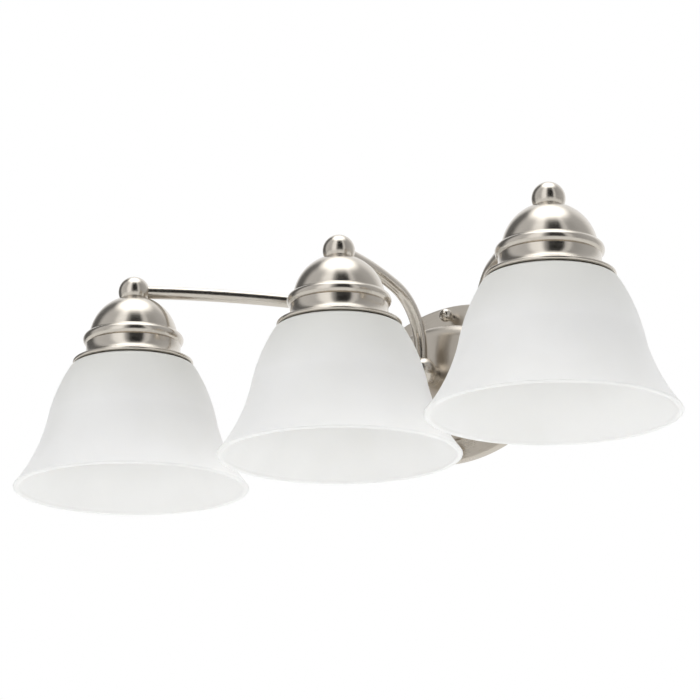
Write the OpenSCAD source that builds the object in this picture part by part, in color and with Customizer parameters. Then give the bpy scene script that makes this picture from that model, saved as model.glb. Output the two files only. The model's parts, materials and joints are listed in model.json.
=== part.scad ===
// Three-light vanity light bar with bell glass shades.
// Frame: origin on the wall at the middle of the wall plate, +Z up, the fixture
// stands out from the wall towards -Y.  All sizes in millimetres.

/* [Overall] */
// distance between neighbouring lights
light_pitch = 173; // [168:1:200]
// wall to the axis of an outer light
reach = 150; // [135:1:170]
// how much nearer the wall the middle light hangs
middle_set_back = 8.5; // [0:0.5:14]
// height of the top balls above the plate centre
ball_height = 64; // [56:1:80]

/* [Glass shade] */
// height of the bell from its rim to its flat top
shade_h = 90.5; // [84:0.5:110]
// radius of the bell at its waist
waist_r = 59; // [54:0.5:64]
// height of the waist above the rim
waist_h = 50; // [44:1:56]
// lean of the wall at the waist, degrees from upright
waist_lean = 12; // [8:1:16]
// bend radius of the flared skirt
flare_bend = 115; // [100:1:140]
// bend radius of the upper wall
upper_bend = 119; // [100:1:140]
// lean of the wall where the shoulder starts, degrees
shoulder_lean = 31; // [26:1:36]
// bend radius of the shoulder
shoulder_bend = 8; // [6:0.5:12]
// glass thickness
glass_t = 3.4; // [2.5:0.1:4.5]
// radius of the fitter hole
fitter_r = 21; // [20.6:0.1:22]

/* [Spun cup] */
// radius of the domed crown
dome_r = 31.2; // [30:0.2:33]
// depth of the dome centre below the ball centre
dome_drop = 35; // [33:0.5:38]
// sheet thickness of the cup
cup_t = 1.2; // [0.8:0.1:1.6]
// greatest radius of the bead roll
bead_r = 35.3; // [34.5:0.1:37]
// tube radius of the bead roll
bead_roll = 4.4; // [4:0.1:4.8]
// radius of the neck under the bead
neck_r = 33.2; // [31:0.2:34]
// sweep radius of the flange
flange_sweep = 10.8; // [9:0.2:12]
// tube radius of the flange's rolled edge
roll_r = 1.4; // [1:0.1:2]

/* [Balls and arms] */
// radius of the balls
ball_r = 11; // [10:0.5:12]
// outside radius of the arm tube
arm_r = 4.5; // [4:0.25:5.5]
// wall thickness of the arm tube
arm_wall = 0.8; // [0.6:0.1:1.2]
// radius of the tight bend near the wall plate
tight_bend = 41; // [34:1:46]
// angle covered by the long bend of the middle arm
middle_lean = 16; // [6:1:20]
// angle covered by the long bend of an outer arm
outer_lean = 6; // [4:1:10]
// distance between neighbouring balls on the wall plate
plate_ball_pitch = 49; // [44:1:52]
// plate flange to the centre of a plate ball
ball_stand = 39; // [36:1:44]

/* [Wall plate] */
// width of the oval plate
plate_w = 170; // [160:2:190]
// height of the oval plate
plate_h = 114; // [108:2:124]
// depth of the plate's rim
plate_lip = 6; // [5.5:0.5:10]
// sheet thickness of the plate
plate_t = 1.2; // [0.8:0.1:1.6]
// width of the flat flange
flange_w = 15.5; // [14:0.5:18]
// height of the raised pan above the flange
pan_h = 26; // [22:1:30]
// distance of the canopy screws from the plate centre
canopy_screw_z = 48.5; // [46:0.5:50]

/* [Strap] */
// distance between the wall box screws
box_pitch = 88.9; // [83.3:0.1:90]
// strap thickness
strap_t = 1.8; // [1.5:0.1:2]
// strap width
strap_w = 15; // [13:0.5:18]

/* [Lampholder] */
// radius of the holder's threaded skirt
holder_r = 20; // [19.6:0.1:20.4]
// inside radius of the lamp's screw shell
shell_r = 13.4; // [13.3:0.05:13.5]
// depth of the lamp socket
socket_depth = 27; // [24:0.5:30]

/* [Part] */
// sub-part to show

/* [Hidden] */
$fn = 96;
e = 0.01;
nipple_r = 5;
bore_r = 3.6;
wire_r = 1;
wire_gap = 1.75;
// each stretch of a bent tube or wire differs from the next by this much, and laps it
step = 0.03;
lap = 0.06;
turn_r = 4.8;
outer_y = -reach;
middle_y = -reach + middle_set_back;
rim_z = glass_top_z() - shade_h;
face_y = -plate_lip;
pan_y = face_y - pan_h;
plate_ball_y = face_y - ball_stand;
dome_z = ball_height - dome_drop;
cup_top_z = dome_z + sqrt(dome_r * dome_r - 10.3 * 10.3);
bead_c = [bead_r - bead_roll, dome_z + 4 - bead_roll];
sweep_c = [neck_r + flange_sweep, dome_z - 7.2];
roll_c = [sweep_c[0] + flange_sweep * cos(248) + 0.9, sweep_c[1] + flange_sweep * sin(248) + 0.25];
holder_top_z = cup_top_z - cup_t - 6.5;
holder_low_z = glass_top_z() - glass_t - 9;
socket_top_z = holder_low_z + socket_depth;
// the four arcs of the oval are set out on 3-4-5 triangles, so their centres fall on round numbers
oval_unit = (plate_w - plate_h) / 4;
end_c = 3 * oval_unit;
top_c = 4 * oval_unit;
end_arc = plate_w / 2 - end_c;
top_arc = plate_h / 2 + top_c;
crown_d = flange_w + 13.2;
strap_len = 2 * canopy_screw_z + 11;

// ---------- helpers ----------
// height of the glass top: just under the lowest point of the cup's flange sheet
function glass_top_z() =
  ball_height - dome_drop - 7.2 + (flange_sweep + cup_t) * sin(248) - 0.1;

// points of an arc in a radial section
function arc_pts(c, r, a0, a1, n) =
  [for (i = [0 : n]) [c[0] + r * cos(a0 + (a1 - a0) * i / n), c[1] + r * sin(a0 + (a1 - a0) * i / n)]];

function reverse(v) = [for (i = [len(v) - 1 : -1 : 0]) v[i]];

// side is -1 left, 0 middle, 1 right
function light_x(side) = side * light_pitch;
function light_y(side) = side == 0 ? middle_y : outer_y;
function run_x(side) = side * plate_ball_pitch - light_x(side);
function run_y(side) = plate_ball_y - light_y(side);
function run_len(side) = norm([run_x(side), run_y(side)]);
function run_a(side) = atan2(run_y(side), run_x(side));
function lean(side) = side == 0 ? middle_lean : outer_lean;
function long_bend(side) = (run_len(side) - tight_bend * (1 - sin(lean(side)))) / sin(lean(side));

module at_light(side) {
  translate([light_x(side), light_y(side), 0]) children();
}

// local frame of an arm: origin at the top ball, +X along the run to the wall plate
module at_arm(side) {
  translate([light_x(side), light_y(side), ball_height]) rotate([0, 0, run_a(side)]) children();
}

// arc swept in the local XZ plane
module bend(c, r, a0, a1) {
  translate([c[0], 0, c[1]]) rotate([90, 0, 0]) rotate([0, 0, a0])
    rotate_extrude(angle = a1 - a0) translate([r, 0]) children();
}

// route of an arm from distance h0 off the top ball down to height z1;
// g is the growth of each of its three stretches, read by the section as $grow
module arm_route(side, h0, z1, g) {
  big = long_bend(side);
  la = lean(side);
  c2 = [(big - tight_bend) * sin(la), -big + (big - tight_bend) * cos(la)];
  bend([0, -big], big, 90 - la - lap * 180 / (PI * big), 90 - asin(h0 / big), $grow = g[0]) children();
  bend(c2, tight_bend, 0, 90 - la, $grow = g[1]) children();
  translate([run_len(side), 0, z1 - ball_height])
    linear_extrude(c2[1] - z1 + ball_height + lap, $grow = g[2]) children();
}

// straight round bar between two points
module bar(a, b, r) {
  d = b - a;
  l = norm(d);
  translate(a) rotate([0, acos(d[2] / l), atan2(d[1], d[0])]) cylinder(r = r, h = l);
}

// round wire through a list of points
module wire_run(p, r) {
  for (i = [0 : len(p) - 2]) bar(p[i], p[i + 1], r);
  for (i = [1 : len(p) - 2]) translate(p[i]) sphere(r = r + step);
}

// cylinder that runs from y0 to y1 along Y
module along_y(x, z, y0, y1, r) {
  translate([x, y1, z]) rotate([90, 0, 0]) cylinder(r = r, h = y1 - y0);
}

// ---------- wall plate ----------
// section through the sheet, measured inwards from the rim: [inwards, out from the wall]
function plate_top() = concat(
  [[0, 0]],
  arc_pts([1.5, plate_lip - 1.5], 1.5, 180, 90, 6),
  [[flange_w, plate_lip], [flange_w + 0.5, plate_lip + 1.2], [flange_w + 2.2, plate_lip + 1.2]],
  [[flange_w + 2.9, plate_lip + 1.8]],
  arc_pts([crown_d, plate_lip + pan_h - 9], 9, 170, 90, 12),
  [[crown_d + 1, plate_lip + pan_h]]
);
function plate_low() = concat(
  [[plate_t, 0]],
  arc_pts([1.5, plate_lip - 1.5], 1.5 - plate_t, 180, 90, 3),
  [[flange_w + 0.4, plate_lip - plate_t], [flange_w + 1, plate_lip + 1.2 - plate_t]],
  [[flange_w + 3.4, plate_lip + 1.2 - plate_t], [flange_w + 4.1, plate_lip + 1.8]],
  arc_pts([crown_d, plate_lip + pan_h - 9], 9 - plate_t, 170, 90, 12),
  [[crown_d + 1, plate_lip + pan_h - plate_t]]
);

module plate_section(r) {
  translate([r, 0]) mirror([1, 0]) polygon(concat(plate_top(), reverse(plate_low())));
}

// the part of the plan that a top or bottom arc covers
module top_sector() {
  polygon([[0, -top_c], [2 * end_c, top_c], [-2 * end_c, top_c]]);
}

// the part of the plan that an end arc covers
module end_sector() {
  polygon([[end_c, 0], [2 * end_c, top_c], [plate_w, top_c], [plate_w, -top_c], [2 * end_c, -top_c]]);
}

module oval(d) {
  for (s = [-1, 1]) translate([s * end_c, 0]) circle(r = end_arc - d);
  for (s = [0, 180]) rotate([0, 0, s]) intersection() {
    translate([0, -top_c]) circle(r = top_arc - d, $fn = 180);
    polygon([[0, -top_c], [2 * end_c, top_c], [-2 * end_c, top_c]]);
    translate([-plate_w, -1]) square([2 * plate_w, plate_h]);
  }
}

module back_plate() {
  color([0.72, 0.7, 0.67]) difference() {
    rotate([90, 0, 0]) union() {
      for (s = [0, 180]) rotate([0, 0, s]) {
        intersection() {
          translate([end_c, 0, 0]) rotate_extrude() plate_section(end_arc);
          translate([0, 0, -1]) linear_extrude(plate_lip + pan_h + 2) end_sector();
        }
        intersection() {
          translate([0, -top_c, 0]) rotate_extrude($fn = 180) plate_section(top_arc);
          translate([0, 0, -1]) linear_extrude(plate_lip + pan_h + 2) top_sector();
        }
      }
      // flat middle of the pan, let into the ring by a hair on each face
      translate([0, 0, plate_lip + pan_h - plate_t + 0.01])
        linear_extrude(plate_t - 0.02) oval(crown_d + 0.5);
    }
    for (s = [-1 : 1]) along_y(s * plate_ball_pitch, 0, pan_y - 2, pan_y + 3, nipple_r + 0.15);
    for (s = [-1, 1]) along_y(0, s * canopy_screw_z, face_y - 2, face_y + 3, 2.4);
  }
}

// ---------- mounting straps ----------
module box_strap() {
  color([0.75, 0.76, 0.78]) difference() {
    translate([-53, -strap_t, -strap_w / 2]) cube([106, strap_t, strap_w]);
    for (s = [-1, 1]) {
      translate([s * box_pitch / 2 - 3.5, -strap_t - 1, -2.6]) cube([7, strap_t + 2, 5.2]);
      for (t = [-1, 1]) along_y(s * box_pitch / 2 + t * 3.5, 0, -strap_t - 1, 1, 2.6);
    }
    along_y(0, 0, -strap_t - 1, 1, 4);
  }
}

module canopy_strap() {
  color([0.75, 0.76, 0.78]) difference() {
    translate([-strap_w / 2, -2 * strap_t, -strap_len / 2]) cube([strap_w, strap_t, strap_len]);
    for (s = [-1, 1]) along_y(0, s * canopy_screw_z, -2 * strap_t - 1, 1, 2.05);
    along_y(0, 0, -2 * strap_t - 1, 1, 4);
    along_y(0, -22, -2 * strap_t - 1, 1, 1.9);
  }
}

module strap_rivet() {
  color([0.7, 0.7, 0.7]) difference() {
    union() {
      along_y(0, 0, -2 * strap_t, 0, 4);
      along_y(0, 0, -2 * strap_t - 1.2, -2 * strap_t, 6);
    }
    along_y(0, 0, -2 * strap_t - 2, 1, 2.6);
  }
}

module ground_screw() {
  color([0.1, 0.5, 0.2]) union() {
    along_y(0, -22, -2 * strap_t - e, -0.4, 1.9);
    translate([0, -2 * strap_t - 1.3, -22]) rotate([90, 0, 0]) cylinder(r = 4.6, h = 2.6, $fn = 6);
    along_y(0, -22, -2 * strap_t - 1.3 - e, -2 * strap_t, 1.9);
  }
}

module ground_wire() {
  color([0.15, 0.55, 0.25]) union() {
    // ring end clamped under the ground screw
    difference() {
      along_y(0, -22, -2 * strap_t - 1.25, -2 * strap_t - 0.05, 6.2);
      along_y(0, -22, -2 * strap_t - 2, 0, 1.95);
    }
    wire_run([[-5.6, -4.2, -22], [-12, -8, -20], [-12, -8, -9], [-12, -24, -8],
      [-11, pan_y + plate_t + 0.9, -5], [-8.6, pan_y + plate_t + 0.9, -4]], 0.8);
    // ring end clamped behind the middle nut
    difference() {
      along_y(0, 0, pan_y + plate_t + 0.02, pan_y + plate_t + 1, 9.8);
      along_y(0, 0, pan_y, pan_y + 5, nipple_r + 0.05);
    }
  }
}

module canopy_screw(s) {
  color([0.74, 0.72, 0.69]) difference() {
    union() {
      along_y(0, s * canopy_screw_z, face_y - 4.2, face_y - 0.02, 3);
      translate([0, face_y - 7.4, s * canopy_screw_z]) sphere(r = 4.7);
      along_y(0, s * canopy_screw_z, face_y - 1, -0.6, 2);
    }
    for (a = [0, 90]) translate([0, face_y - 12.4, s * canopy_screw_z]) rotate([0, a, 0])
      translate([-2.6, 0, -0.55]) cube([5.2, 2.9, 1.1]);
  }
}

module canopy_screw_top() canopy_screw(1);
module canopy_screw_bottom() canopy_screw(-1);

// ---------- fixing of the plate balls ----------
module ball_seats() {
  color([0.72, 0.7, 0.67]) for (s = [-1 : 1]) difference() {
    along_y(s * plate_ball_pitch, 0, plate_ball_y + sqrt(ball_r * ball_r - 56.25), pan_y, 7.5);
    along_y(s * plate_ball_pitch, 0, plate_ball_y, pan_y + 1, nipple_r);
  }
}

module plate_nipples() {
  color([0.8, 0.66, 0.35]) for (s = [-1 : 1]) difference() {
    along_y(s * plate_ball_pitch, 0, plate_ball_y + 2.6, pan_y + 10, nipple_r);
    along_y(s * plate_ball_pitch, 0, plate_ball_y, pan_y + 12, bore_r);
  }
}

module plate_nuts() {
  color([0.75, 0.75, 0.76]) for (s = [-1 : 1]) difference() {
    translate([s * plate_ball_pitch, pan_y + plate_t + 4.6, 0]) rotate([90, 0, 0])
      cylinder(r = 8.6, h = 3.5, $fn = 6);
    along_y(s * plate_ball_pitch, 0, pan_y, pan_y + 12, nipple_r);
  }
  color([0.75, 0.75, 0.76]) for (s = [-1, 1]) difference() {
    along_y(s * plate_ball_pitch, 0, pan_y + plate_t + 0.02, pan_y + plate_t + 1, 7.1);
    along_y(s * plate_ball_pitch, 0, pan_y, pan_y + 12, nipple_r + 0.05);
  }
}

module plate_ball(side) {
  translate([side * plate_ball_pitch, plate_ball_y, 0]) color([0.72, 0.7, 0.67]) difference() {
    sphere(r = ball_r);
    sphere(r = nipple_r);
    cylinder(r = arm_r, h = ball_r + 1);
    rotate([-90, 0, 0]) cylinder(r = nipple_r, h = ball_r + 1);
    translate([-ball_r, sqrt(ball_r * ball_r - 56.25), -ball_r]) cube(2 * ball_r);
  }
}

module plate_ball_left() plate_ball(-1);
module plate_ball_middle() plate_ball(0);
module plate_ball_right() plate_ball(1);

// ---------- arms ----------
module arm(side) {
  color([0.72, 0.7, 0.67]) at_arm(side) arm_route(side, 7, 7, [0, step, 0]) difference() {
    circle(r = arm_r + $grow);
    circle(r = arm_r - arm_wall - $grow);
  }
}

module arm_left() arm(-1);
module arm_middle() arm(0);
module arm_right() arm(1);

// ---------- head of each light ----------
module top_ball(side) {
  color([0.72, 0.7, 0.67]) at_arm(side) difference() {
    sphere(r = ball_r);
    sphere(r = nipple_r);
    rotate([0, 90, 0]) cylinder(r = arm_r + 0.05, h = ball_r + 1);
    translate([0, 0, -ball_r - 1]) cylinder(r = nipple_r, h = ball_r + 1);
    translate([-ball_r, -ball_r, cup_top_z + 0.02 - ball_height - 2 * ball_r]) cube(2 * ball_r);
  }
}

module top_ball_left() top_ball(-1);
module top_ball_middle() top_ball(0);
module top_ball_right() top_ball(1);

module cup(side) {
  top_a = asin((cup_top_z - dome_z) / dome_r);
  low_a = asin(4.2 / dome_r);
  in_r = dome_r - cup_t;
  in_a = asin((cup_top_z - cup_t - dome_z) / in_r);
  outer = concat(
    [[nipple_r + 0.1, cup_top_z]],
    arc_pts([0, dome_z], dome_r, top_a, low_a, 24),
    arc_pts(bead_c, bead_roll, 86, -56, 22),
    arc_pts(sweep_c, flange_sweep, 176, 248, 14)
  );
  inner = concat(
    [[nipple_r + 0.1, cup_top_z - cup_t]],
    arc_pts([0, dome_z], in_r, in_a, asin(2.8 / in_r), 24),
    arc_pts(bead_c, bead_roll - cup_t, 46, -48, 14),
    arc_pts(sweep_c, flange_sweep + cup_t, 176, 248, 14)
  );
  color([0.72, 0.7, 0.67]) at_light(side) union() {
    rotate_extrude() polygon(concat(outer, reverse(inner)));
    rotate_extrude() translate(roll_c) circle(r = roll_r, $fn = 32);
  }
}

module cup_left() cup(-1);
module cup_middle() cup(0);
module cup_right() cup(1);

module cup_nipple(side) {
  color([0.8, 0.66, 0.35]) at_light(side) difference() {
    translate([0, 0, holder_top_z - 4]) cylinder(r = nipple_r, h = ball_height - 2.6 - holder_top_z + 4);
    translate([0, 0, holder_top_z - 6]) cylinder(r = bore_r, h = 40);
  }
}

module cup_nipple_left() cup_nipple(-1);
module cup_nipple_middle() cup_nipple(0);
module cup_nipple_right() cup_nipple(1);

module cup_nut(side) {
  color([0.75, 0.75, 0.76]) at_light(side) difference() {
    union() {
      translate([0, 0, cup_top_z - cup_t - 5]) cylinder(r = 9, h = 4, $fn = 6);
      translate([0, 0, cup_top_z - cup_t - 1]) cylinder(r = 9.4, h = 0.98);
    }
    translate([0, 0, 0]) cylinder(r = nipple_r, h = ball_height);
  }
}

module cup_nut_left() cup_nut(-1);
module cup_nut_middle() cup_nut(0);
module cup_nut_right() cup_nut(1);

module lampholder(side) {
  low = holder_low_z;
  top = holder_top_z;
  color([0.93, 0.92, 0.88]) at_light(side) difference() {
    rotate_extrude() polygon([
      [nipple_r, top], [12, top], [17.5, top - 4], [17.5, low + 27], [holder_r, low + 24], [holder_r, low],
      [shell_r + 0.6, low], [shell_r + 0.6, socket_top_z], [0, socket_top_z], [0, socket_top_z + 3],
      [12, socket_top_z + 3], [12, top - 4.5], [nipple_r, top - 4.5]
    ]);
    // ways for the live and the neutral lead
    for (s = [-1, 1]) translate([0, 0, socket_top_z - 1]) rotate([0, 0, run_a(side)])
      translate([0, s * wire_gap, 0]) cylinder(r = wire_r, h = 6);
  }
}

module lampholder_left() lampholder(-1);
module lampholder_middle() lampholder(0);
module lampholder_right() lampholder(1);

module screw_shell(side) {
  color([0.83, 0.7, 0.4]) at_light(side) difference() {
    translate([0, 0, holder_low_z + 1]) cylinder(r = shell_r + 0.58, h = socket_depth - 1.02);
    translate([0, 0, holder_low_z]) cylinder(r = shell_r, h = socket_depth - 0.6);
    // relief round the centre contact, above the last turn of the thread
    translate([0, 0, holder_low_z + socket_depth - 3.6]) cylinder(r = shell_r + 0.28, h = 3);
    translate([0, 0, holder_low_z]) cylinder(r = 10.5, h = socket_depth + 2);
  }
}

module screw_shell_left() screw_shell(-1);
module screw_shell_middle() screw_shell(0);
module screw_shell_right() screw_shell(1);

module centre_contact(side) {
  color([0.85, 0.72, 0.4]) at_light(side) union() {
    translate([0, 0, socket_top_z - 0.8]) cylinder(r = 6, h = 0.78);
    translate([0, 0, socket_top_z - 3.2]) cylinder(r = 3.2, h = 2.5);
  }
}

module centre_contact_left() centre_contact(-1);
module centre_contact_middle() centre_contact(0);
module centre_contact_right() centre_contact(1);

// bell section points; w is 0 on the outer skin and glass_t on the inner one
function bell_side(w) =
  let (
    fc = [waist_r + flare_bend * cos(waist_lean), waist_h + flare_bend * sin(waist_lean)],
    uc = [waist_r - upper_bend * cos(waist_lean), waist_h - upper_bend * sin(waist_lean)],
    sc = uc + (upper_bend - shoulder_bend) * [cos(shoulder_lean), sin(shoulder_lean)],
    low_a = asin((fc[1] - 1.2) / (flare_bend + w)),
    top_h = shade_h - w,
    end_a = asin(min(1, (top_h - sc[1]) / (shoulder_bend - w)))
  )
  concat(
    [for (p = arc_pts(fc, flare_bend + w, 180 + low_a, 180 + waist_lean, 18)) p],
    [for (i = [1 : 14]) arc_pts(uc, upper_bend - w, waist_lean, shoulder_lean, 14)[i]],
    [for (i = [1 : 8]) arc_pts(sc, shoulder_bend - w, shoulder_lean, end_a, 8)[i]]
  );

module shade(side) {
  skin = bell_side(0);
  liner = bell_side(glass_t);
  rim_in = liner[0][0];
  rim_out = skin[0][0];
  color([0.95, 0.95, 0.94]) at_light(side) translate([0, 0, rim_z]) union() {
    rotate_extrude()
      polygon(concat(skin, [[fitter_r, shade_h], [fitter_r, shade_h - glass_t]], reverse(liner)));
    rotate_extrude() translate([(rim_in + rim_out) / 2 + 0.1, 1.95])
      circle(r = (rim_out - rim_in) / 2 - 0.2, $fn = 24);
  }
}

module shade_left() shade(-1);
module shade_middle() shade(0);
module shade_right() shade(1);

module shade_ring(side) {
  top_z = glass_top_z() - glass_t - 0.05;
  color([0.95, 0.95, 0.93]) at_light(side) difference() {
    translate([0, 0, top_z]) rotate_extrude() polygon([
      [holder_r + 0.06, 0], [27, 0], [27, -2], [24, -2.5], [24, -7], [holder_r + 0.06, -7]
    ]);
    // finger notches round the grip
    for (a = [15 : 30 : 345]) rotate([0, 0, a]) translate([25, 0, top_z - 8]) cylinder(r = 1.8, h = 4.6);
  }
}

module shade_ring_left() shade_ring(-1);
module shade_ring_middle() shade_ring(0);
module shade_ring_right() shade_ring(1);

// ---------- leads ----------
// one insulated lead from the lampholder through nipple, ball, arm and plate ball
module lead(side, s) {
  off = s * wire_gap;
  wx = side * plate_ball_pitch - off * sin(run_a(side));
  wy = plate_ball_y + off * cos(run_a(side));
  up = -s;
  lane_y = side == 0 ? -13.8 : (side < 0 ? -16 : -14.9);
  lane_z = up * (side > 0 ? 18.9 : 17);
  at_arm(side) translate([0, off, 0]) {
    translate([0, 0, socket_top_z + 0.02 - ball_height])
      cylinder(r = wire_r, h = ball_height - turn_r + lap - socket_top_z);
    bend([turn_r, -turn_r], turn_r, 90, 180) circle(r = wire_r + step, $fn = 24);
    translate([turn_r - lap, 0, 0]) rotate([0, 90, 0]) cylinder(r = wire_r, h = 3.2);
    arm_route(side, 7, turn_r - lap, [step, 0, step]) circle(r = wire_r + $grow, $fn = 24);
  }
  translate([wx, wy, 0]) rotate([0, 0, 90]) bend([turn_r, turn_r], turn_r, 180, 270)
    circle(r = wire_r, $fn = 24);
  if (side < 1)
    wire_run([[wx, wy + turn_r - lap, 0], [wx, lane_y, 0], [wx, lane_y, lane_z], [22, lane_y, lane_z]],
      wire_r + step);
  else
    wire_run([[wx, wy + turn_r - lap, 0], [wx, lane_y, 0], [40.5, lane_y, up * 25.6],
      [12, lane_y, up * 25.6], [12, lane_y, lane_z], [22, lane_y, lane_z]], wire_r + step);
}

module live_lead_left() color([0.12, 0.12, 0.12]) lead(-1, -1);
module live_lead_middle() color([0.12, 0.12, 0.12]) lead(0, -1);
module live_lead_right() color([0.12, 0.12, 0.12]) lead(1, -1);
module neutral_lead_left() color([0.92, 0.92, 0.9]) lead(-1, 1);
module neutral_lead_middle() color([0.92, 0.92, 0.9]) lead(0, 1);
module neutral_lead_right() color([0.92, 0.92, 0.9]) lead(1, 1);

module wire_connectors() {
  color([0.85, 0.45, 0.15]) for (s = [-1, 1]) translate([18, -14.9, s * 17.6])
  rotate([0, 90, 0]) difference() {
    union() {
      cylinder(r1 = 6.4, r2 = 5.6, h = 8);
      translate([0, 0, 8]) cylinder(r1 = 5.6, r2 = 3.4, h = 12);
    }
    translate([0, 0, -1]) cylinder(r = 3.6, h = 9);
  }
}

// ---------- selection ----------
back_plate();
box_strap();
canopy_strap();
strap_rivet();
ground_screw();
ground_wire();
canopy_screw_top();
canopy_screw_bottom();
ball_seats();
plate_nipples();
plate_nuts();
wire_connectors();
plate_ball_left();
plate_ball_middle();
plate_ball_right();
arm_left();
arm_middle();
arm_right();
top_ball_left();
top_ball_middle();
top_ball_right();
cup_left();
cup_middle();
cup_right();
cup_nipple_left();
cup_nipple_middle();
cup_nipple_right();
cup_nut_left();
cup_nut_middle();
cup_nut_right();
lampholder_left();
lampholder_middle();
lampholder_right();
screw_shell_left();
screw_shell_middle();
screw_shell_right();
centre_contact_left();
centre_contact_middle();
centre_contact_right();
shade_left();
shade_middle();
shade_right();
shade_ring_left();
shade_ring_middle();
shade_ring_right();
live_lead_left();
live_lead_middle();
live_lead_right();
neutral_lead_left();
neutral_lead_middle();
neutral_lead_right();
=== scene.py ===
"""Looks of a three-light vanity bar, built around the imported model's bodies.

Every piece is made in metres in the model's own frame: the wall is the plane y = 0, the room is towards -Y
and +Z is up. Places come from the CAD nodes' boxes, and the sizes held by the classes are the sizes the pieces
are made to.
"""

import json
import logging
import math
from dataclasses import dataclass
from enum import Enum
from typing import Any, Iterable, Sequence

import bmesh
import bpy
from mathutils import Matrix, Vector


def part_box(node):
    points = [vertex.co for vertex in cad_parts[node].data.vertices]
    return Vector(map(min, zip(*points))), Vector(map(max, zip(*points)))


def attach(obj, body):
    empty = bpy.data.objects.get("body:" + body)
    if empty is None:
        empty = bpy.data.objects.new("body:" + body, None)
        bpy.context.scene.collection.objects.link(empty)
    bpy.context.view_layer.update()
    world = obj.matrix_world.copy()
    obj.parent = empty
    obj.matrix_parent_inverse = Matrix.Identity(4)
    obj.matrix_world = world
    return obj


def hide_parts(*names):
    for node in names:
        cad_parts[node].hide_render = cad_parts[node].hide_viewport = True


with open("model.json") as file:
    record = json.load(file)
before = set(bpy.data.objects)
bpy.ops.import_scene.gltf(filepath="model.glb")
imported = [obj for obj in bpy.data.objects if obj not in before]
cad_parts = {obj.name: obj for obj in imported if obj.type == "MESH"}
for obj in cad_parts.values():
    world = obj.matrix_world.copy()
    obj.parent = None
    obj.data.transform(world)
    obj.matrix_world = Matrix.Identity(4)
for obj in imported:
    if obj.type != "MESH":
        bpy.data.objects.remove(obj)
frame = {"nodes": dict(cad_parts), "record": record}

logging.basicConfig(level=logging.INFO, format="%(message)s")
LOG = logging.getLogger("vanity")

MM = 0.001
FIXTURE = "fixture"
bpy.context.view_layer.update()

Tree = bpy.types.NodeTree
Node = bpy.types.Node
Socket = bpy.types.NodeSocket
Mesh = bpy.types.Mesh
Point = tuple[float, float]
Outline = list[Point]


class Side(Enum):
    """Which of the three lights a piece belongs to."""

    LEFT = "left"
    MIDDLE = "middle"
    RIGHT = "right"

    def node(self, stem: str) -> str:
        """Returns the CAD node of that stem on this side."""
        return f"{stem}_{self.value}"


class Axis(Enum):
    """Direction that a turned piece's own height points in."""

    UP = Matrix.Identity(3)
    OUT = Matrix.Rotation(math.pi / 2, 3, "X")
    ACROSS = Matrix.Rotation(math.pi / 2, 3, "Y")


# ---------- colour and node helpers ----------
def srgb(code: str) -> tuple[float, float, float, float]:
    """Turns an sRGB hex code into linear RGBA.

    Args:
        code: The colour as "#RRGGBB".

    Returns:
        The four linear channels, with alpha 1.
    """
    parts = [int(code[i : i + 2], 16) / 255 for i in (1, 3, 5)]
    r, g, b = (p / 12.92 if p <= 0.04045 else ((p + 0.055) / 1.055) ** 2.4 for p in parts)
    return (r, g, b, 1.0)


def add_node(
    tree: Tree,
    kind: str,
    links: dict[Any, Socket] | None = None,
    values: dict[Any, Any] | None = None,
    **settings: Any,
) -> Node:
    """Adds one node to a tree.

    Args:
        tree: The tree that gets the node.
        kind: The node's type name.
        links: Output sockets to link, by input name or number.
        values: Values to set, by input name or number.
        **settings: Properties of the node itself.

    Returns:
        The new node.
    """
    node = tree.nodes.new(kind)
    for name, value in settings.items():
        setattr(node, name, value)
    for key, value in (values or {}).items():
        node.inputs[key].default_value = value
    for key, source in (links or {}).items():
        tree.links.new(source, node.inputs[key])
    return node


def add_ramp(tree: Tree, source: Socket, stops: Sequence[tuple[float, Any]]) -> Node:
    """Adds a colour ramp.

    Args:
        tree: The tree that gets the ramp.
        source: What drives it, from 0 to 1.
        stops: Places along the ramp, each with a hex code or a grey level.

    Returns:
        The ramp node.
    """
    ramp = add_node(tree, "ShaderNodeValToRGB", links={0: source})
    bar = ramp.color_ramp
    while len(bar.elements) < len(stops):
        bar.elements.new(1.0)
    for element, (place, tone) in zip(bar.elements, stops):
        element.position = place
        element.color = srgb(tone) if isinstance(tone, str) else (tone, tone, tone, 1.0)
    return ramp


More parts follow.
